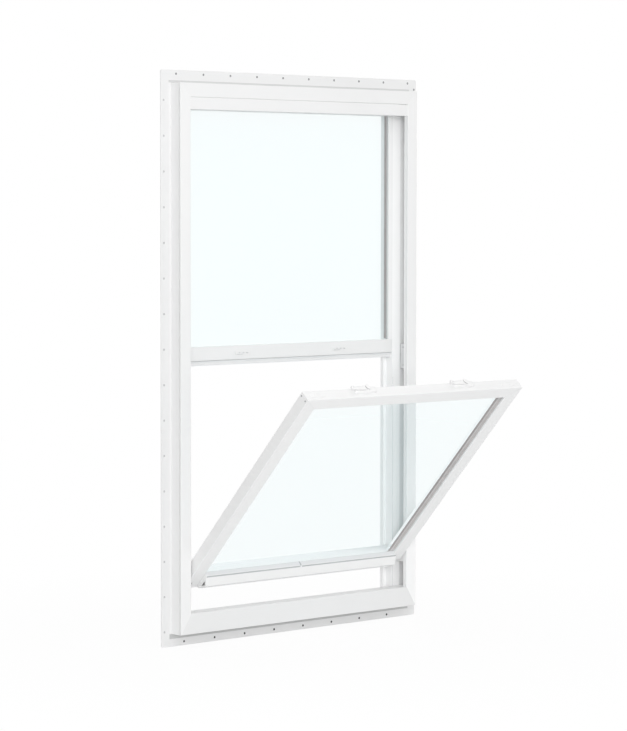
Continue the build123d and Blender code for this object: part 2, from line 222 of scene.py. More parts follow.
def spacer(name):
    """Pale plastic on the uprights of a spacer, and bright metal on its level bars."""
    material, tree, shader = new_material(name)
    normal = tree.nodes.new("ShaderNodeNewGeometry").outputs["Normal"]
    across = calculate(tree, "ABSOLUTE", axes_of(tree, normal)["X"])
    upright = calculate(tree, "GREATER_THAN", across, 0.5)
    grain = noise(tree, METAL_SCALE, FINE_DETAIL)
    level = ramp(tree, grain, METAL_LOW, METAL_HIGH)
    side = ramp(tree, grain, (0.84, 0.845, 0.85), (0.90, 0.905, 0.91))
    tree.links.new(mix_colours(tree, upright, level, side), shader.inputs["Base Color"])
    tree.links.new(calculate(tree, "SUBTRACT", 1.0, upright), shader.inputs["Metallic"])
    tree.links.new(map_range(tree, grain, NOISE_MIDDLE, METAL_ROUGH), shader.inputs["Roughness"])
    return material


def bright_metal(name):
    material, tree, shader = new_material(name)
    shader.inputs["Metallic"].default_value = 1.0
    grain = noise(tree, METAL_SCALE, FINE_DETAIL)
    tree.links.new(ramp(tree, grain, METAL_LOW, METAL_HIGH), shader.inputs["Base Color"])
    tree.links.new(map_range(tree, grain, NOISE_MIDDLE, METAL_ROUGH), shader.inputs["Roughness"])
    return material


# Where the jamb's vinyl is painted lighter, painted light in its recess and at its foot, in metres of the row
# frame, each from no share to the full share
JAMB_SIDE, JAMB_SIDE_SHARE = (0.448, 0.446), 0.35
JAMB_RECESS = (-0.036, -0.026)
JAMB_FOOT = (0.85, 0.25)
JAMB_WIDTH, JAMB_FOOT_SHARES = (-0.4, 0.4), (0.2, 0.75)
JAMB_BACK, JAMB_TOP = (0.0412, 0.0405), (1.5224, 1.5215)


def jamb_vinyl_painted_light(name):
    """White vinyl with painted light, lighter in the recess and at the foot than on the rest of the room face.

    The outer side has a part of the recess's share, and the back and the top end have none.
    """
    material = plastic(name, (0.820, 0.822, 0.822), (0.836, 0.838, 0.838), *VINYL)
    tree = material.node_tree
    colour = tree.nodes["Principled BSDF"].inputs["Base Color"]
    front = colour.links[0].from_socket
    place = axes_of(tree, object_coords(tree))
    across = calculate(tree, "ABSOLUTE", place["X"])
    inside = map_range(tree, across, JAMB_SIDE, (JAMB_SIDE_SHARE, 1.0))
    recess = calculate(tree, "MULTIPLY", inside, map_range(tree, place["Y"], JAMB_RECESS))
    side = map_range(tree, place["X"], JAMB_WIDTH, JAMB_FOOT_SHARES)
    foot = calculate(tree, "MULTIPLY", map_range(tree, place["Z"], JAMB_FOOT), side)
    share = calculate(tree, "MAXIMUM", recess, foot)
    for axis, limits in (("Y", JAMB_BACK), ("Z", JAMB_TOP)):
        share = calculate(tree, "MULTIPLY", share, map_range(tree, place[axis], limits))
    # Painted light: the lightest white, mixed in by place
    painted_light_tone = ramp(tree, noise(tree, TONE_SCALE), PAINTED_LIGHT_LOW, PAINTED_LIGHT_HIGH)
    tree.links.new(mix_colours(tree, share, front, painted_light_tone), colour)
    return material


WHITE_VINYL = plastic("white_vinyl", (0.808, 0.810, 0.810), (0.824, 0.826, 0.826), *VINYL)
WHITE_HARDWARE = plastic("white_hardware", (0.885, 0.885, 0.885), (0.90, 0.90, 0.90), *HARDWARE)
HARDWARE_GREY = plastic("hardware_grey", (0.67, 0.675, 0.68), (0.73, 0.735, 0.74), *MOULDED)
MATERIALS = {
    "white_vinyl": WHITE_VINYL,
    "white_hardware": WHITE_HARDWARE,
    "hardware_grey": HARDWARE_GREY,
    "spacer_grey": spacer("spacer_grey"),
    "steel": plastic("steel", (0.55, 0.55, 0.56), (0.65, 0.65, 0.66), *STEEL),
    "glass": glass("glass"),
}
JAMB_VINYL = jamb_vinyl_painted_light("jamb_vinyl_painted_light")
# Lighter copies of the white vinyl on the sash and the beads, painted light
SASH_VINYL_PAINTED_LIGHT = plastic("sash_vinyl_painted_light", (0.880, 0.882, 0.882), (0.894, 0.896, 0.896), *VINYL)
BEAD_VINYL_PAINTED_LIGHT = plastic("bead_vinyl_painted_light", (0.890, 0.892, 0.892), (0.904, 0.906, 0.906), *VINYL)
# A darker copy of the white vinyl on the fins, painted shade
FIN_VINYL_PAINTED_SHADE = plastic("fin_vinyl_painted_shade", (0.797, 0.799, 0.799), (0.811, 0.813, 0.813), *FIN)
# The slot lips' whiter tone is painted light in the recess
LIP_PAINTED_LIGHT = plastic("lip_painted_light", PAINTED_LIGHT_LOW, PAINTED_LIGHT_HIGH, *VINYL)
BRIGHT_METAL = bright_metal("bright_metal")
# Painted shade in the nail holes and in the latch screws' crosses
HOLE_PAINTED_SHADE_PALE = plastic("hole_painted_shade_pale", (0.52, 0.52, 0.525), (0.60, 0.60, 0.605), *HOLE)
HOLE_PAINTED_SHADE_MID = plastic("hole_painted_shade_mid", (0.26, 0.26, 0.265), (0.33, 0.33, 0.335), *HOLE)
HOLE_PAINTED_SHADE_DARK = plastic("hole_painted_shade_dark", (0.02, 0.02, 0.022), (0.045, 0.045, 0.05), *HOLE)
# Grey of the sash's bead and weld lines and the keeper slot's floor, and painted shade in the jamb lines
BEAD_GREY = plastic("bead_grey", (0.74, 0.75, 0.76), (0.80, 0.81, 0.82), *BEAD)
# Grey for the bead's joint, the keeper's marks and the latch screw heads, and painted shade: the line along the
# lift's ridge and the crosses of screws
SEAM_AND_PAINTED_SHADE_GREY = plastic("seam_and_painted_shade_grey", (0.44, 0.45, 0.46), (0.54, 0.55, 0.56), *SEAM)
PILE_GREY = plastic("pile_grey", (0.72, 0.73, 0.74), (0.84, 0.85, 0.86), *PILE)
SEALANT_DARK = plastic("sealant_dark", (0.36, 0.30, 0.295), (0.42, 0.36, 0.355), *SEALANT)
SEALANT_GREY = plastic("sealant_grey", (0.61, 0.55, 0.545), (0.67, 0.61, 0.605), *SEALANT)
# The liner's grey paints the shade in the balance slot
TRACK_PAINTED_SHADE = plastic("track_painted_shade", (0.80, 0.802, 0.804), (0.83, 0.832, 0.834), *MOULDED)
# Painted shade: the crescent under the lock hubs and the crosses of the balance screws
DARK_PAINTED_SHADE = plastic("dark_painted_shade", (0.14, 0.14, 0.145), (0.20, 0.20, 0.205), *MARK)
SHOE_WHITE = plastic("shoe_white", (0.90, 0.90, 0.90), (0.94, 0.94, 0.94), *MOULDED)
RIB_WHITE = plastic("rib_white", (0.83, 0.832, 0.832), (0.85, 0.852, 0.852), *RIB)
# Painted shadow lines along the head and under the sill
RIB_TOP_PAINTED_SHADOW = plastic("rib_top_painted_shadow", (0.63, 0.632, 0.632), (0.65, 0.652, 0.652), *RIB)
RIB_LOW_PAINTED_SHADOW = plastic("rib_low_painted_shadow", (0.54, 0.542, 0.542), (0.56, 0.562, 0.562), *RIB)
NODE_MATERIALS = {
    "jamb": JAMB_VINYL,
    "fin": FIN_VINYL_PAINTED_SHADE,
    "bead": BEAD_VINYL_PAINTED_LIGHT,
    "shoe": SHOE_WHITE,
    "keeper": WHITE_VINYL,
}


def dress_nodes():
    for part in frame["record"]["subparts"]:
        name, slot_name = part["node"], part["material_slot"]
        material = MATERIALS[slot_name]
        # The sash, jamb, bead and fin nodes take lighter or darker copies of the white vinyl, painted light and
        # shade
        if name.startswith("sash_") and slot_name == "white_vinyl":
            material = SASH_VINYL_PAINTED_LIGHT
        material = NODE_MATERIALS.get(name.rsplit("_", 1)[-1], material)
        for slot in frame["nodes"][name].material_slots:
            slot.material = material


# Sizes of the frame and the sash that the added pieces lie against, in millimetres
SIDES = ((-1, "left"), (1, "right"))
HALF_WIDTH = 449.25
FRAME_BOTTOM, FRAME_TOP = 17.5, 1522.5
ROOM_FACE = -41.3
LEG_EDGE = 412.25
LEDGE, HEAD_LINE = 74.5, 1484.1
FIN_WIDTH, FIN_THICKNESS = 35.0, 2.0
NAIL_RADIUS, NAIL_INSET = 3.2, 10.5
SIDE_ROW = (24.5, 96.7, 16)
HEAD_ROW = (-430.0, 97.8, 10)
SILL_ROW = (-404.0, 110.7, 8)
CORNER_NAIL = (476.4, 1529.5)
PARTING_FACE, PARTING_EDGE = 4.0, 395.0
LIP_FACE, RAIL_FACE_BOTTOM, LIP_BOTTOM = 12.0, 763.3, 748.3
KEEPER_MIDDLE, KEEPER_SCREW = 779.5, 21.0
SASH_HALF, SASH_FACE = 407.25, 16.0
SIGHT_EDGE, SIGHT_LOW, SIGHT_TOP, SASH_TOP = 362.75, 17.0, 664.1, 701.4
PANE_FACE = 10.0
LOCK_OFFSET, LOCK_SETBACK = 186.0, 6.0
LATCH_MIDDLE = 361.25
TRACK_EDGE, UPPER_SPACER = 422.55, 380.5

# Sizes of the added pieces, in millimetres
END_GAP = 0.1
LINER_GAP, LINER_RIM, LINER_TAPER = 0.02, 0.3, 0.5
LINER_FLOORS = (0.7, 1.3)
FIN_ROOT, RIB_EDGE, RIB_RISE = 6.8, 0.4, 1.0
TRACK_SPAN = (LEDGE + END_GAP, HEAD_LINE - END_GAP)
TRACK_LIP_BEND, TRACK_LIP_TIP, TRACK_BACK = 426.0, 426.5, 443.6
BALANCE_LOW, BALANCE_HEIGHT, BALANCE_FACE = 714.5, 72.0, 426.5
BALANCE_SECTION = (
    (443.9, -24.0), (428.5, -24.0), (BALANCE_FACE, -22.0),
    (BALANCE_FACE, 1.5), (428.5, 3.5), (443.9, 3.5),
)
BALANCE_SCREWS, BALANCE_SCREW_DEPTH = (10.0, 62.0), -10.0
# Radius and height of the screw heads
BALANCE_HEAD, KEEPER_HEAD, LOCK_HEAD, LATCH_HEAD = (3.0, 0.9), (1.75, 0.9), (2.6, 1.2), (2.4, 0.6)
# Profile of a screw head and its dark cross, painted shade of a cross recess, in shares of its radius and height
SCREW_DOME = ((1.0, 0.25), (0.85, 0.7), (0.45, 1.0), (0, 1.0))
CROSS_REACH, CROSS_HALF, CROSS_FLOOR = 0.62, 0.14, 0.75
SCREW_SINK, CROSS_RISE = 0.4, 0.04
# A painted shade line on the parting step
JAMB_LINE = ((397.0, 0), (397.3, 0.06), (398.7, 0.06), (399.0, 0))
JAMB_LINE_TOP = 690.0
SPACER_STEP, SHADE_RISE = 1.0, 0.1
LINE_EDGE, LINE_END, GLASS_SIDE_END = 0.1, 1.2, 0.2
SASH_SEALANT = ((-6.9, -0.8, 0), (-0.8, 4.6, 1), (4.6, 5.6, 0), (5.6, 9.95, 1))
UPPER_SEALANT = ((0, 14.8), (SHADE_RISE, 15.0), (SHADE_RISE, 24.6), (0, 24.8))
UPPER_SEALANT_SPAN = (803.0, 1481.0)
GLASS_FEET = ((-15.7, -10.05, 17.6), (-9.95, -7.0, 18.05), (7.0, 9.95, 18.05))
GLASS_SIDES = ((-15.7, -10.05, 0.5), (-9.95, -7.0, 1.0))
SEAM_HALF, SEAM_SINK, SEAM_RISE, SEAM_INSET = 0.35, 0.05, 0.06, 1.5
BEAD_BACK = PANE_FACE + 0.2
BEAD_END, BEAD_JOINT = SIGHT_EDGE - 0.3, (-14.0, -9.0)
BEAD_SECTION = (
    (BEAD_BACK, SIGHT_LOW), (SASH_FACE, SIGHT_LOW), (21.6, 15.55),
    (21.6, 16.0), (SASH_FACE, 17.5), (BEAD_BACK, 17.7),
)
# A painted shadow line along the ridge of the lift
BEAD_SHADOW_LINE = ((23.5, 14.8), (25.7, 12.2), (26.1, 12.6), (24.7, 14.9), (23.5, 15.4))
BEAD_JOINT_SECTION = (
    (BEAD_BACK, SIGHT_LOW), (SASH_FACE, SIGHT_LOW), (23.0, 15.1),
    (23.0, 15.4), (SASH_FACE, 17.2), (BEAD_BACK, 17.4),
)
PLUG_SECTION = ((16.1, 16.4), (23.6, 14.4), (27.5, 9.6), (27.5, -26.5), (16.1, -34.5))
PLUG_LENGTH = 1.2
STILE_END_SECTION = (
    (0, -15.7), (0, -17.0), (14.9, -17.0), (15.98, -15.9), (15.98, 3.0), (10.0, 3.0),
)
STILE_END_EDGES = (389.1, SASH_HALF - END_GAP)
# Sections of the meeting rail's piles, from the lip's face and from the rail's or the lip's foot
RAIL_PILE = ((-2.2, -5.5), (0, -6.0), (0, -2.0), (-2.2, -2.5))
LIP_PILE = ((-0.5, 0), (0, 0), (0, 1.6), (-0.5, 1.6))
PILE_END = 1.0
STILE_SEAL = ((396.5, 0), (402.5, 0), (401.5, 2.0), (397.5, 2.0))
STILE_SEAL_SPAN = (24.0, SASH_TOP - 6.0)
KEEPER_SCREW_FACE = PARTING_FACE - 0.5
KEEPER_SLOT, KEEPER_SLOT_DEPTHS = (13.8, 2.8), (PARTING_FACE - 0.3, PARTING_FACE)
KEEPER_MARK_DEPTHS = (PARTING_FACE - 2.06, PARTING_FACE - 1.9)
# Soft marks on a keeper: place from its middle, length and width
KEEPER_MARKS = (
    (-13.0, -3.0, 24.0, 1.3), (-14.0, 1.6, 4.4, 2.4), (1.0, 1.4, 4.4, 2.4),
    (13.0, 1.2, 4.4, 2.4), (15.5, 0.0, 4.4, 2.4),
)
# Outlines of the lock case from the rail up: height, length and width
LOCK_CASE = (
    (0.0, 78.0, 18.0), (4.2, 78.0, 18.0), (5.6, 76.8, 17.4),
    (7.2, 72.0, 16.0), (8.4, 64.0, 14.0), (8.9, 56.0, 11.0),
)
LOCK_SCREWS, LOCK_SCREW_BASE = (-31.0, 31.0), 7.2
LOCK_HUB = (
    (0, 9.3), (8.7, 9.3), (9.3, 9.9), (9.3, 15.1), (8.9, 15.5),
    (6.8, 15.5), (6.3, 16.5), (4.6, 17.1), (0, 17.2),
)
CRESCENT_OUTER, CRESCENT_INNER, CRESCENT_WIDTH = 8.9, 8.8, 2.0
CRESCENT_START, CRESCENT_STEP, CRESCENT_STEPS = 140, 10, 14
CRESCENT_HEIGHTS = (15.4, 15.75)
# Rings of the lock handle out from the hub: distance, width, underside and top
LOCK_HANDLE = (
    (0.0, 13.6, 10.0, 15.6), (12.0, 12.9, 10.0, 15.7), (30.0, 11.4, 10.1, 15.6),
    (46.0, 10.0, 10.3, 15.6), (52.0, 9.6, 10.6, 16.6), (56.0, 9.3, 11.0, 19.4),
    (60.0, 8.8, 11.6, 20.6), (61.9, 7.0, 12.8, 20.0),
)
HANDLE_CORNERS, HANDLE_ROUND = 20, 0.6
LATCH_CASE, LATCH_CASE_HEIGHTS = (60.0, 14.0), (0.0, 1.3)
LATCH_SLIDE, LATCH_SLIDE_HEIGHTS = (26.0, 9.0), (1.0, 2.3)
THUMB_RIBS, THUMB_PITCH = 5, 3.0
THUMB_HALF, THUMB_REACH, THUMB_HEIGHTS = 0.6, 3.0, (2.1, 2.8)
LATCH_SCREW_DROP, LATCH_SCREW_ROOM = 9.5, (-9.7, 9.7)

tilt_joint = next(joint for joint in frame["joints"] if joint["name"] == "sash_tilt")
TILT = math.radians(-tilt_joint["range_deg"][0])
PIVOT = Vector(tilt_joint["pos_m"]) * 1000


def at_row(x, y, z):
    return Vector((x, y, z)) / 1000


def at_sash(x, up, room):
    """A point of the sash: across, up from its pivots, and to the room from its middle plane."""
    y = PIVOT.y - up * math.sin(TILT) - room * math.cos(TILT)
    z = PIVOT.z + up * math.cos(TILT) - room * math.sin(TILT)
    return Vector((x, y, z)) / 1000


def at_deck(x, back, high):
    """A point over the top of the sash: across, towards the outdoors, and up from the rail."""
    return at_sash(x, SASH_TOP + high, -back)


def up_row(t, a, b):
    """Lays a section of X and Y upright in the row frame."""
    return at_row(a, b, t)


def up_sash(t, a, b):
    """Lays a section of points across the sash and to the room along its height."""
    return at_sash(a, t, b)


def along_sash(t, a, b):
    """Lays a section of points to the room and up the sash along its width."""
    return at_sash(t, b, a)


# Mesh forms
SMOOTH_ANGLE = math.radians(35)
BEVEL_STEPS = 3
SLOT_STEPS = 10


def prism(mesh, section, start, end, place, index=0):
    ends = [[mesh.verts.new(place(t, a, b)) for a, b in section] for t in (start, end)]
    faces = [mesh.faces.new(ends[0]), mesh.faces.new(ends[1][::-1])]
    for i in range(len(section)):
        j = (i + 1) % len(section)
        faces.append(mesh.faces.new((ends[0][j], ends[0][i], ends[1][i], ends[1][j])))
    for face in faces:
        face.material_index = index


def lathe(mesh, profile, place, count=24):
    """Turns a profile of (radius, height) pairs, closed at both ends, about its own axis."""
    angles = [math.tau * i / count for i in range(count)]
    rings = []
    for radius, high in profile:
        if radius == 0:
            rings.append([mesh.verts.new(place(0, 0, high))])
        else:
            points = [(radius * math.cos(t), radius * math.sin(t)) for t in angles]
            rings.append([mesh.verts.new(place(a, b, high)) for a, b in points])
    for low, high in zip(rings, rings[1:]):
        for i in range(count):
            j = (i + 1) % count
            quad = (low[i % len(low)], low[j % len(low)], high[j % len(high)], high[i % len(high)])
            corners = []
            for vert in quad:
                if vert not in corners:
                    corners.append(vert)
            if len(corners) > 2:
                mesh.faces.new(corners)


def loft(mesh, rings):
    rings = [[mesh.verts.new(point) for point in ring] for ring in rings]
    mesh.faces.new(rings[0][::-1])
    mesh.faces.new(rings[-1])
    for low, high in zip(rings, rings[1:]):
        for i in range(len(low)):
            j = (i + 1) % len(low)
            mesh.faces.new((low[i], low[j], high[j], high[i]))


def slot_outline(length, width):
    """A slot with round ends, centred on its middle."""
    reach, radius = (length - width) / 2, width / 2
    points = []
    for side in (1, -1):
        for i in range(SLOT_STEPS + 1):
            angle = -math.pi / 2 + math.pi * i / SLOT_STEPS
            across, along = radius * math.sin(angle), reach + radius * math.cos(angle)
            points.append((side * along, side * across))
    return points


def screw(mesh, place, radius, high):
    """A domed screw head with a dark cross, painted shade of a cross recess, standing on the face at height 0."""
    profile = [(0, -SCREW_SINK), (radius, -SCREW_SINK)]
    profile += [(share * radius, rise * high) for share, rise in SCREW_DOME]
    lathe(mesh, profile, place, count=20)
    bar, half = CROSS_REACH * radius, CROSS_HALF * radius
    section = [(-bar, -half), (bar, -half), (bar, half), (-bar, half)]
    # The cross's dark material is painted shade
    for turn in (0.0, math.pi / 2):
        cos, sin = math.cos(turn), math.sin(turn)
        prism(mesh, section, CROSS_FLOOR * high, high + CROSS_RISE,
              lambda t, a, b, c=cos, s=sin: place(a * c - b * s, a * s + b * c, t), index=1)


def seam(mesh, start, end, place):
    """A thin weld line on a face, from one corner of a mitre to the other."""
    start, end = Vector(start), Vector(end)
    along = end - start
    across = Vector((-along.y, along.x)).normalized() * SEAM_HALF
    corners = [start - across, start + across, end + across, end - across]
    prism(mesh, [tuple(corner) for corner in corners], -SEAM_SINK, SEAM_RISE,
          lambda t, a, b: place(a, b, t))


def add_piece(name, mesh, materials, body, bevel=0.0, nodes=()):
    bmesh.ops.recalc_face_normals(mesh, faces=mesh.faces)
    for edge in mesh.edges:
        edge.smooth = len(edge.link_faces) == 2 and edge.calc_face_angle() < SMOOTH_ANGLE
    for face in mesh.faces:
        face.smooth = True
    data = bpy.data.meshes.new(name)
    mesh.to_mesh(data)
    mesh.free()
    for material in materials:
        data.materials.append(material)
    piece = bpy.data.objects.new(name, data)
    scene.collection.objects.link(piece)
    if bevel:
        edges = piece.modifiers.new("edges", "BEVEL")
        edges.width = bevel / 1000
        edges.segments = BEVEL_STEPS
        edges.limit_method = "ANGLE"
    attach(piece, body)
    if nodes:
        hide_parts(*nodes)


def nail_points(row):
    start, pitch, count = row
    return [start + pitch * i for i in range(count)]


def make_nail_holes():
    """Recessed liners in the nail holes of each fin, grey as painted shade in the holes, darker along the head and
    the sill.
    """
    reach = HALF_WIDTH + FIN_WIDTH - NAIL_INSET
    head_line = FRAME_TOP + FIN_WIDTH - NAIL_INSET
    sill_line = FRAME_BOTTOM - FIN_WIDTH + NAIL_INSET
    rows = (
        ("left", HOLE_PAINTED_SHADE_PALE, [(-reach, z) for z in nail_points(SIDE_ROW)]),
        ("right", HOLE_PAINTED_SHADE_PALE, [(reach, z) for z in nail_points(SIDE_ROW)]),
        ("head", HOLE_PAINTED_SHADE_MID, [(x, head_line) for x in nail_points(HEAD_ROW)] + [CORNER_NAIL]),
        ("sill", HOLE_PAINTED_SHADE_DARK, [(x, sill_line) for x in nail_points(SILL_ROW)]),
    )
    near, far = LINER_GAP, FIN_THICKNESS - LINER_GAP
    wall = NAIL_RADIUS - LINER_GAP
    rim, base = wall - LINER_RIM, wall - LINER_TAPER
    low, high = LINER_FLOORS
    profile = [
        (0, low), (base, low), (rim, near), (wall, near),
        (wall, far), (rim, far), (base, high), (0, high),
    ]
    for name, tone, points in rows:
        mesh = bmesh.new()
        for x0, z0 in points:
            lathe(mesh, profile, lambda a, b, h, x0=x0, z0=z0: at_row(x0 + a, h, z0 + b))
        add_piece(f"{name}_nail_holes", mesh, [tone], "frame")


def make_fin_root():
    """A low rib round the frame where the nail fin joins it, twice as wide under the sill, with painted shadow
    lines in grey along the head and darker under the sill.
    """
    mesh = bmesh.new()
    outer_x = HALF_WIDTH + FIN_ROOT
    outer_low, outer_top = FRAME_BOTTOM - 2 * FIN_ROOT, FRAME_TOP + FIN_ROOT
    for side, _ in SIDES:
        inner, outer = side * HALF_WIDTH, side * outer_x
        prism(mesh, [(inner, 0), (outer, 0), (outer, -RIB_EDGE), (inner, -RIB_RISE)],
              FRAME_BOTTOM, FRAME_TOP, up_row)
    # Index 1 and 2 are the painted shadow lines along the head and under the sill
    for index, inner, outer in ((1, FRAME_TOP, outer_top), (2, FRAME_BOTTOM, outer_low)):
        prism(mesh, [(0, inner), (0, outer), (-RIB_EDGE, outer), (-RIB_RISE, inner)],
              -outer_x, outer_x, at_row, index=index)
    add_piece("fin_root", mesh, [RIB_WHITE, RIB_TOP_PAINTED_SHADOW, RIB_LOW_PAINTED_SHADOW], "frame")


def make_track_lips():
    """A lip along the outdoor side of each balance slot, whiter as painted light, and a grey liner beyond it whose
    tone paints the slot's shade.
    """
    lip = (
        (TRACK_EDGE, 0.05), (TRACK_LIP_BEND, 0.05), (TRACK_LIP_TIP, 0.6),
        (TRACK_LIP_TIP, 2.0), (TRACK_EDGE, 2.0),
    )
    liner = ((TRACK_LIP_TIP, 1.2), (TRACK_BACK, 1.2), (TRACK_BACK, 1.9), (TRACK_LIP_TIP, 1.9))
    for side, name in SIDES:
        mesh = bmesh.new()
        for index, section in enumerate((lip, liner)):
            points = [(side * x, PARTING_FACE + deep) for x, deep in section]
            prism(mesh, points, *TRACK_SPAN, up_row, index=index)
        add_piece(f"{name}_track_lip", mesh, [LIP_PAINTED_LIGHT, TRACK_PAINTED_SHADE], "frame")


def make_balances():
    """Coil balance cases, set back in the jambs, with a screw head at the top and the foot."""
    for side, name in SIDES:
        mesh = bmesh.new()
        prism(mesh, [(side * a, b) for a, b in BALANCE_SECTION],
              BALANCE_LOW, BALANCE_LOW + BALANCE_HEIGHT, up_row)
        for high in BALANCE_SCREWS:
            def place(a, b, h, side=side, z0=BALANCE_LOW + high):
                return at_row(side * (BALANCE_FACE - h), BALANCE_SCREW_DEPTH + a, z0 + b)

            screw(mesh, place, *BALANCE_HEAD)
        add_piece(f"{name}_balance_case", mesh, [HARDWARE_GREY, DARK_PAINTED_SHADE], "frame",
                  nodes=[f"{name}_balance"])


def make_jamb_lines():
    """A fine grey line down the parting step of each jamb, beside the sash, that paints the shade at the step's
    edge.
    """
    for side, name in SIDES:
        mesh = bmesh.new()
        prism(mesh, [(side * x, PARTING_FACE - out) for x, out in JAMB_LINE],
              LEDGE + END_GAP, JAMB_LINE_TOP, up_row)
        add_piece(f"{name}_jamb_line", mesh, [BEAD_GREY], "frame")


def make_spacer_lines():
    """Sealant lines on the uprights of both spacers."""
    mesh = bmesh.new()
    for side, _ in SIDES:
        inner = side * (SIGHT_EDGE - SPACER_STEP)
        face = side * (SIGHT_EDGE - SPACER_STEP - SHADE_RISE)
        for low, high, index in SASH_SEALANT:
            section = [(inner, low), (face, low + LINE_EDGE), (face, high - LINE_EDGE), (inner, high)]
            prism(mesh, section, SIGHT_LOW + LINE_END, SIGHT_TOP - LINE_END, up_sash, index=index)
    add_piece("sash_spacer_lines", mesh, [SEALANT_DARK, SEALANT_GREY], "sash")
    mesh = bmesh.new()
    for side, _ in SIDES:
        prism(mesh, [(side * (UPPER_SPACER - rise), y) for rise, y in UPPER_SEALANT],
              *UPPER_SEALANT_SPAN, up_row)
    add_piece("upper_spacer_lines", mesh, [SEALANT_DARK], "frame")


def make_glass_edges():
    """Bright caps along the foot and the sides of the sash glass."""
    mesh = bmesh.new()
    for low, high, top in GLASS_FEET:
        section = [
            (low, SIGHT_LOW), (low, top - LINE_EDGE), (low + LINE_EDGE, top),
            (high - LINE_EDGE, top), (high, top - LINE_EDGE), (high, SIGHT_LOW),
        ]
        prism(mesh, section, -SIGHT_EDGE + END_GAP, SIGHT_EDGE - END_GAP, along_sash)
    for side, _ in SIDES:
        for low, high, deep in GLASS_SIDES:
            edge, face = side * SIGHT_EDGE, side * (SIGHT_EDGE - deep)
            section = [(edge, low), (face, low + LINE_EDGE), (face, high - LINE_EDGE), (edge, high)]
            prism(mesh, section, SIGHT_LOW + LINE_END, SIGHT_TOP - GLASS_SIDE_END, up_sash)
    add_piece("sash_glass_edges", mesh, [BRIGHT_METAL], "sash")


def make_seams():
    """Weld lines across the mitred corners of the frame and of the top of the sash."""
    mesh = bmesh.new()
    corners = ((HEAD_LINE, FRAME_TOP - SEAM_INSET), (LEDGE, FRAME_BOTTOM + SEAM_INSET))
    for side, _ in SIDES:
        for inner, outer in corners:
            seam(mesh, (side * LEG_EDGE, inner), (side * (HALF_WIDTH - SEAM_INSET), outer),
                 lambda a, b, t: at_row(a, ROOM_FACE - t, b))
    add_piece("frame_weld_lines", mesh, [RIB_WHITE], "frame")
    mesh = bmesh.new()
    for side, _ in SIDES:
        inner = (side * SIGHT_EDGE, SIGHT_TOP)
        outer = (side * (SASH_HALF - SEAM_INSET), SASH_TOP - SEAM_INSET)
        for face in (SASH_FACE, -SASH_FACE):
            seam(mesh, inner, outer,
                 lambda a, b, t, face=face: at_sash(a, b, face + math.copysign(t, face)))
    add_piece("sash_weld_lines", mesh, [BEAD_GREY], "sash")


def make_sash_bead():
    """Two lengths of bead under the sash glass with a dark joint between them, and a dark line along the ridge of
    the lift that is a painted shadow line.
    """
    mesh = bmesh.new()
    joint_start, joint_end = BEAD_JOINT
    for start, end in ((-BEAD_END, joint_start), (joint_end, BEAD_END)):
        prism(mesh, BEAD_SECTION, start, end, along_sash)
        # The line along the ridge is a painted shadow line
        prism(mesh, BEAD_SHADOW_LINE, start, end, along_sash, index=1)
    prism(mesh, BEAD_JOINT_SECTION, joint_start, joint_end, along_sash, index=1)
    add_piece("sash_lower_bead", mesh, [BEAD_GREY, SEAM_AND_PAINTED_SHADE_GREY], "sash")


def make_lift_plugs():
    """Moulded plugs in the ends of the lift."""
    mesh = bmesh.new()
    for side, _ in SIDES:
        prism(mesh, PLUG_SECTION, side * SIGHT_EDGE, side * (SIGHT_EDGE + PLUG_LENGTH), along_sash)
    add_piece("lift_plugs", mesh, [SASH_VINYL_PAINTED_LIGHT], "sash", bevel=0.4)


def make_stile_ends():
    """Moulded ends on the room side of the stiles, beside the pivots."""
    mesh = bmesh.new()
    inner, outer = STILE_END_EDGES
    for side, _ in SIDES:
        prism(mesh, STILE_END_SECTION, side * inner, side * outer, along_sash)
    add_piece("stile_ends", mesh, [SASH_VINYL_PAINTED_LIGHT], "sash", bevel=0.4)


def make_seals():
    """Pile strips under the meeting rail and up the outdoor side of the stiles."""
    mesh = bmesh.new()
    reach = PARTING_EDGE - PILE_END
    for pile, base in ((RAIL_PILE, RAIL_FACE_BOTTOM), (LIP_PILE, LIP_BOTTOM)):
        section = [(LIP_FACE + deep, base + high) for deep, high in pile]
        prism(mesh, section, -reach, reach, at_row)
    add_piece("meeting_seal", mesh, [PILE_GREY], "frame")
    mesh = bmesh.new()
    for side, _ in SIDES:
        prism(mesh, [(side * x, -SASH_FACE - out) for x, out in STILE_SEAL],
              *STILE_SEAL_SPAN, up_sash)
    add_piece("stile_seals", mesh, [PILE_GREY], "sash")


def make_keeper_fittings():
    """Screws, the cam slot's floor and soft marks on each lock keeper."""
    for side, name in SIDES:
        mesh = bmesh.new()
        middle = side * LOCK_OFFSET

        def place(t, a, b, x0=middle, z0=KEEPER_MIDDLE):
            return at_row(x0 + a, t, z0 + b)

        for offset in (-KEEPER_SCREW, KEEPER_SCREW):
            screw(mesh, lambda a, b, h, x0=middle + offset: place(KEEPER_SCREW_FACE - h, a, b, x0),
                  *KEEPER_HEAD)
        prism(mesh, slot_outline(*KEEPER_SLOT), *KEEPER_SLOT_DEPTHS, place, index=2)
        for offset, rise, long, wide in KEEPER_MARKS:
            x0, z0 = middle + offset, KEEPER_MIDDLE + rise
            prism(mesh, slot_outline(long, wide), *KEEPER_MARK_DEPTHS,
                  lambda t, a, b, x0=x0, z0=z0: place(t, a, b, x0, z0), index=1)
        add_piece(f"{name}_keeper_screws", mesh, [WHITE_HARDWARE, SEAM_AND_PAINTED_SHADE_GREY, BEAD_GREY], "frame")


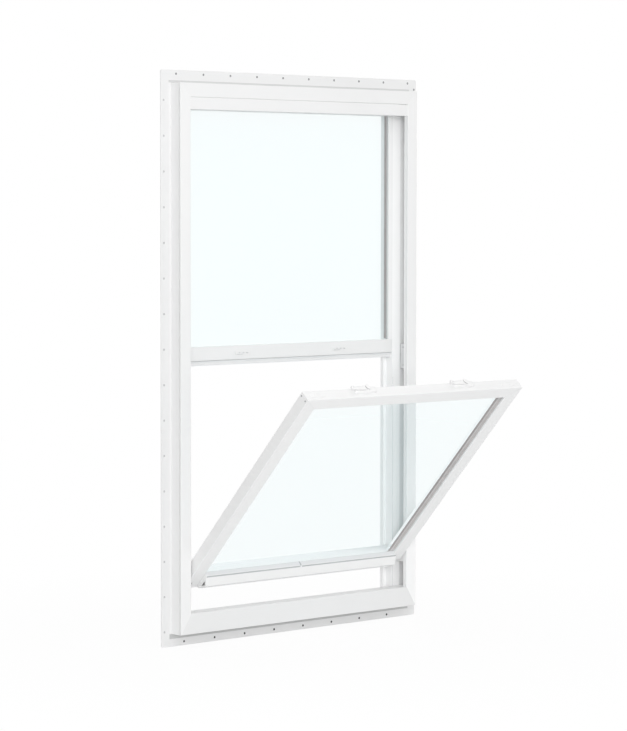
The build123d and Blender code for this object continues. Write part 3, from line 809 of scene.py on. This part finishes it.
def crescent():
    """The outline of a thin dark crescent round the lock's hub, painted shade under the hub's cap."""
    outer, inner = [], []
    for i in range(CRESCENT_STEPS + 1):
        angle = math.radians(CRESCENT_START + CRESCENT_STEP * i)
        taper = math.sin(math.pi * i / CRESCENT_STEPS)
        radius = CRESCENT_INNER - CRESCENT_WIDTH * taper
        outer.append((CRESCENT_OUTER * math.cos(angle), CRESCENT_OUTER * math.sin(angle)))
        inner.append((radius * math.cos(angle), radius * math.sin(angle)))
    return outer + inner[::-1]


def handle_ring(wide, low, top):
    """A rounded section of the lock handle: towards the outdoors and up from the rail."""
    points = []
    for i in range(HANDLE_CORNERS):
        angle = math.tau * i / HANDLE_CORNERS
        cos, sin = math.cos(angle), math.sin(angle)
        back = math.copysign(abs(cos) ** HANDLE_ROUND, cos) * wide / 2
        swell = math.copysign(abs(sin) ** HANDLE_ROUND, sin) * (top - low) / 2
        points.append((back, (low + top) / 2 + swell))
    return points


def make_locks():
    """Sash locks: a domed case, its screws, and a handle that turns on a hub."""
    for side, name in SIDES:
        def place(a, b, h, hub=side * LOCK_OFFSET):
            return at_deck(hub + a, LOCK_SETBACK + b, h)

        mesh = bmesh.new()
        loft(mesh, [[place(a, b, high) for a, b in slot_outline(long, wide)]
                    for high, long, wide in LOCK_CASE])
        add_piece(f"{name}_lock_case", mesh, [WHITE_HARDWARE], "sash",
                  nodes=[f"{name}_lock_base"])

        mesh = bmesh.new()
        for offset in LOCK_SCREWS:
            screw(mesh, lambda a, b, h, x0=offset: place(x0 + a, b, LOCK_SCREW_BASE + h),
                  *LOCK_HEAD)
        add_piece(f"{name}_lock_screws", mesh, [WHITE_HARDWARE, SEAM_AND_PAINTED_SHADE_GREY], "sash")

        mesh = bmesh.new()
        lathe(mesh, LOCK_HUB, place, count=40)
        # The crescent's dark material is painted shade under the hub's cap
        prism(mesh, crescent(), *CRESCENT_HEIGHTS, lambda t, a, b: place(a, b, t), index=1)
        loft(mesh, [[place(-along, b, h) for b, h in handle_ring(wide, low, top)]
                    for along, wide, low, top in LOCK_HANDLE])
        add_piece(f"{name}_lock_handle", mesh, [WHITE_HARDWARE, DARK_PAINTED_SHADE], f"{name}_lever",
                  nodes=[f"{name}_lock_lever"])


def make_latches():
    """Tilt latches: a low case with a ribbed thumb slide, and the screws in the end of the sash."""
    for side, name in SIDES:
        def place(t, a, b, middle=side * LATCH_MIDDLE):
            return at_deck(middle + a, b, t)

        mesh = bmesh.new()
        prism(mesh, slot_outline(*LATCH_CASE), *LATCH_CASE_HEIGHTS, place)
        add_piece(f"{name}_latch_case", mesh, [WHITE_HARDWARE], "sash",
                  bevel=0.6, nodes=[f"{name}_tilt_latch"])

        mesh = bmesh.new()
        prism(mesh, slot_outline(*LATCH_SLIDE), *LATCH_SLIDE_HEIGHTS, place)
        for i in range(THUMB_RIBS):
            across = THUMB_PITCH * (i - THUMB_RIBS // 2)
            low, high = across - THUMB_HALF, across + THUMB_HALF
            rib = [(low, -THUMB_REACH), (high, -THUMB_REACH), (high, THUMB_REACH), (low, THUMB_REACH)]
            prism(mesh, rib, *THUMB_HEIGHTS, place)
        add_piece(f"{name}_latch_slide", mesh, [WHITE_HARDWARE], "sash",
                  bevel=0.3)

        mesh = bmesh.new()
        for room in LATCH_SCREW_ROOM:
            def on_end(a, b, h, side=side, room=room):
                return at_sash(side * (SASH_HALF + h), SASH_TOP - LATCH_SCREW_DROP + a, room + b)

            screw(mesh, on_end, *LATCH_HEAD)
        add_piece(f"{name}_latch_screws", mesh, [SEAM_AND_PAINTED_SHADE_GREY, HOLE_PAINTED_SHADE_DARK], "sash")


# Light and floor. A lamp is its name, place, target, width, height and watts, in metres.
WHITE = (1, 1, 1, 1)
WORLD_LIGHT = 0.55
LAMPS = (
    ("key", (-6.0, -7.8, 2.4), (0, 0, 0.8), 4.0, 4.0, 290.0),
    ("front", (1.0, -9.0, 1.6), (0, 0, 0.7), 4.0, 3.0, 36.0),
    ("right", (5.5, -6.5, 1.2), (0.4, 0, 0.5), 3.0, 3.0, 26.0),
    ("top", (-0.6, -1.6, 6.0), (0, -0.1, 0.8), 3.0, 3.0, 45.0),
    ("top_front", (-2.5, -6.0, 5.5), (0, 0, 0.8), 4.0, 3.0, 40.0),
    ("low", (-3.0, -8.0, 0.6), (0, 0, 0.6), 5.0, 1.0, 30.0),
    ("back", (1.2, 8.0, 2.6), (0, 0, 0.8), 4.0, 3.0, 130.0),
)
FLOOR_HALF, FLOOR_DROP, FLOOR_CELLS = 6.0, 0.0005, 8
FLOOR_SCALE = 1.5
# The floor's share of plain white, from near the object to where it meets the background
FLOOR_REACH, FLOOR_WHITE = (0.5, 1.5), (0.955, 0.998)


def make_world():
    """A white background for what is seen, and a weaker light on the object."""
    world = bpy.data.worlds.new("world")
    scene.world = world
    world.use_nodes = True
    tree = world.node_tree
    light = tree.nodes["Background"]
    light.inputs["Color"].default_value = WHITE
    light.inputs["Strength"].default_value = WORLD_LIGHT
    white = tree.nodes.new("ShaderNodeBackground")
    white.inputs["Color"].default_value = WHITE
    white.inputs["Strength"].default_value = 1.0
    mix_shaders(tree, seen_directly(tree), light.outputs["Background"],
                white.outputs["Background"], "World Output")


def make_lamps():
    for name, place, target, wide, high, watts in LAMPS:
        data = bpy.data.lights.new(name, "AREA")
        data.shape = "RECTANGLE"
        data.size = wide
        data.size_y = high
        data.energy = watts
        lamp = bpy.data.objects.new(name, data)
        lamp.location = place
        aim = Vector(target) - Vector(place)
        lamp.rotation_euler = aim.to_track_quat("-Z", "Y").to_euler()
        lamp.visible_camera = False
        scene.collection.objects.link(lamp)


def make_floor():
    """A pale floor that keeps the object's shadow and turns white away from it."""
    material, tree, shader = new_material("floor")
    shader.inputs["Roughness"].default_value = 0.9
    shader.inputs["Specular IOR Level"].default_value = 0.1
    pale = ramp(tree, noise(tree, FLOOR_SCALE), (0.86, 0.86, 0.86), (0.90, 0.90, 0.90))
    tree.links.new(pale, shader.inputs["Base Color"])
    white = tree.nodes.new("ShaderNodeEmission")
    white.inputs["Color"].default_value = WHITE
    white.inputs["Strength"].default_value = 1.0
    far = tree.nodes.new("ShaderNodeVectorMath")
    far.operation = "LENGTH"
    tree.links.new(object_coords(tree), far.inputs[0])
    whiten = map_range(tree, far.outputs["Value"], FLOOR_REACH, FLOOR_WHITE)
    share = calculate(tree, "MULTIPLY", seen_directly(tree), whiten)
    mix_shaders(tree, share, shader.outputs["BSDF"], white.outputs["Emission"], "Material Output")
    mesh = bmesh.new()
    bmesh.ops.create_grid(mesh, x_segments=FLOOR_CELLS, y_segments=FLOOR_CELLS, size=FLOOR_HALF)
    data = bpy.data.meshes.new("floor")
    mesh.to_mesh(data)
    mesh.free()
    data.materials.append(material)
    floor = bpy.data.objects.new("floor", data)
    floor.location = (0, 0, cad_box[0][2] - FLOOR_DROP)
    scene.collection.objects.link(floor)


make_camera()
make_world()
make_lamps()
make_floor()
dress_nodes()
make_nail_holes()
make_fin_root()
make_track_lips()
make_balances()
make_jamb_lines()
make_spacer_lines()
make_glass_edges()
make_seams()
make_sash_bead()
make_lift_plugs()
make_stile_ends()
make_seals()
make_keeper_fittings()
make_locks()
make_latches()
scene.view_settings.view_transform = "Standard"
